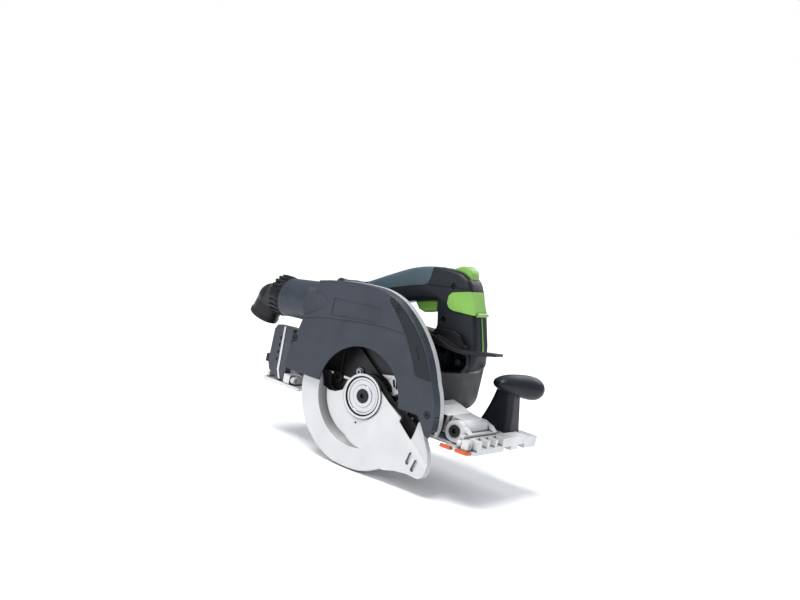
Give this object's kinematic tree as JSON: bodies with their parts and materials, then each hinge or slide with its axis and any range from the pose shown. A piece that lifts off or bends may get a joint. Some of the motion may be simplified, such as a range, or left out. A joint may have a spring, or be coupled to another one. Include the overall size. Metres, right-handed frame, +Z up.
{
  "type": "portable circular saw",
  "caption": "Hand-held circular saw with a swinging lower blade guard, D-shaped handle, dust elbow and a grooved base plate that follows a guide rail.",
  "frame": {"origin": "centre of the blade on the spindle axis, in the blade's plane", "axes": "+X is the cutting direction, +Y points from the blade to the motor, +Z is up from the base"},
  "size_m": [0.3476, 0.187, 0.2611],
  "materials": {
    "shell_plastic": "fine grain",
    "black_plastic": "fine grain",
    "soft_rubber": "matt",
    "black_steel": "black oxide",
    "green_plastic": "satin",
    "orange_plastic": "satin",
    "bracket_plastic": "fine grain",
    "cast_alloy": "shot blasted",
    "base_alloy": "satin",
    "dark_casting": "dark coating",
    "flange_metal": "turned",
    "steel": "machined",
    "laminations": "varnished",
    "bronze": "machined",
    "board": "satin"
  },
  "bodies": {
    "base": {"base_plate": "base_alloy", "edge_strips": "orange_plastic", "aux_stem": "shell_plastic", "aux_grip": "soft_rubber", "bevel_quadrant": "base_alloy", "bevel_pins": "steel"},
    "bevel_frame": {"tilt_frame": "cast_alloy", "rear_post": "bracket_plastic", "depth_scale": "base_alloy", "depth_arc": "black_steel", "pivot_bolt": "steel"},
    "bevel_knob": {"bevel_knob": "black_plastic"},
    "depth_stop": {"depth_stop": "black_plastic"},
    "head": {"guard_cover": "shell_plastic", "cover_strip": "shell_plastic", "cover_screws": "black_steel", "guard_rim": "cast_alloy", "upper_guard": "dark_casting", "washer_screw": "steel", "guard_buffer": "steel", "dust_duct": "shell_plastic", "gearbox_housing": "cast_alloy", "ball_bearings": "steel", "motor_housing": "black_plastic", "motor_end_cap": "black_plastic", "stator": "laminations", "carbon_brushes": "black_plastic", "handle_right": "shell_plastic", "handle_left": "shell_plastic", "handle_screws": "black_steel", "soft_grip": "soft_rubber", "seam_strip": "green_plastic", "cable_socket": "black_plastic", "switch_block": "black_plastic", "electronics_board": "board", "pivot_arm": "cast_alloy", "pivot_bush": "bronze", "lever_pin": "black_steel", "depth_clamp": "cast_alloy", "guard_spring": "steel"},
    "spindle": {"spindle": "steel", "inner_flange": "steel", "spindle_gear": "steel"},
    "flange": {"outer_flange": "flange_metal", "clamp_screw": "steel"},
    "armature": {"armature_shaft": "steel", "armature_core": "laminations", "commutator": "bronze", "cooling_fan": "black_plastic"},
    "lower_guard": {"lower_guard": "cast_alloy", "guard_bush": "bronze"},
    "guard_lever": {"guard_lever": "black_plastic"},
    "trigger": {"trigger": "green_plastic"},
    "switch_lock": {"switch_lock": "green_plastic"},
    "tool_lever": {"tool_lever": "green_plastic"},
    "speed_dial": {"speed_dial": "green_plastic"},
    "depth_clamp_lever": {"depth_clamp_lever": "black_plastic"},
    "dust_elbow": {"dust_elbow": "black_plastic"},
    "rail_knob_front": {"rail_knob_front": "green_plastic"},
    "rail_knob_rear": {"rail_knob_rear": "green_plastic"}
  },
  "joints": [
    {"name": "bevel_tilt", "type": "hinge", "parent": "base", "child": "bevel_frame", "pos_m": [0, 0.008, -0.0155], "axis": [1, 0, 0], "range_deg": [0, 50]},
    {"name": "bevel_knob_turn", "type": "hinge", "parent": "bevel_frame", "child": "bevel_knob", "pos_m": [-0.15, 0.05498, 0.0016], "axis": [1, 0, 0], "range_deg": [0, 120]},
    {"name": "depth_stop_slide", "type": "slide", "parent": "bevel_frame", "child": "depth_stop", "axis": [0, 0, 1], "range_m": [0, 0.033]},
    {"name": "depth_swing", "type": "hinge", "parent": "bevel_frame", "child": "head", "pos_m": [0.118, 0.049, -0.007], "axis": [0, 1, 0], "range_deg": [0, 29]},
    {"name": "spindle_spin", "type": "hinge", "parent": "head", "child": "spindle", "pos_m": [0, 0, 0], "axis": [0, 1, 0], "continuous": true},
    {"name": "flange_release", "type": "slide", "parent": "spindle", "child": "flange", "axis": [0, -1, 0], "range_m": [0, 0.03]},
    {"name": "armature_spin", "type": "hinge", "parent": "head", "child": "armature", "pos_m": [0.00801, 0.08, 0.02262], "axis": [0, 1, 0], "continuous": true},
    {"name": "guard_swing", "type": "hinge", "parent": "head", "child": "lower_guard", "pos_m": [0, 0, 0], "axis": [0, 1, 0], "range_deg": [0, 155], "stiffness_Nm_per_rad": 0.12, "springref_deg": -51.57},
    {"name": "guard_lever_turn", "type": "hinge", "parent": "head", "child": "guard_lever", "pos_m": [0.052, 0.025, 0.078], "axis": [0, 1, 0], "range_deg": [0, 30.1]},
    {"name": "trigger_pull", "type": "slide", "parent": "head", "child": "trigger", "axis": [0, 0, 1], "range_m": [0, 0.005], "stiffness_N_per_m": 600, "springref_m": -0.003},
    {"name": "switch_lock_press", "type": "slide", "parent": "head", "child": "switch_lock", "axis": [0, 0, -1], "range_m": [0, 0.0035], "stiffness_N_per_m": 600, "springref_m": -0.002},
    {"name": "tool_lever_turn", "type": "hinge", "parent": "head", "child": "tool_lever", "pos_m": [0.0985, 0.057, 0.124], "axis": [0, 1, 0], "range_deg": [0, 50]},
    {"name": "speed_dial_turn", "type": "hinge", "parent": "head", "child": "speed_dial", "pos_m": [-0.014, 0.0735, 0.0845], "axis": [0, 1, 0], "range_deg": [0, 270]},
    {"name": "depth_clamp_turn", "type": "hinge", "parent": "head", "child": "depth_clamp_lever", "pos_m": [-0.118, 0.045, 0.008], "axis": [0, 1, 0], "range_deg": [0, 60]},
    {"name": "elbow_turn", "type": "hinge", "parent": "head", "child": "dust_elbow", "pos_m": [-0.15, 0.002, 0.084], "axis": [1, 0, 0], "continuous": true},
    {"name": "rail_knob_front_turn", "type": "hinge", "parent": "base", "child": "rail_knob_front", "pos_m": [0.11, 0.0965, -0.015], "axis": [0, 0, 1], "range_deg": [0, 90]},
    {"name": "rail_knob_rear_turn", "type": "hinge", "parent": "base", "child": "rail_knob_rear", "pos_m": [-0.12, 0.0965, -0.015], "axis": [0, 0, 1], "range_deg": [0, 90]}
  ],
  "couplings": [
    {"joint": "armature_spin", "follows": "spindle_spin", "ratio": -4},
    {"joint": "guard_lever_turn", "follows": "guard_swing", "ratio": 0.1935}
  ]
}
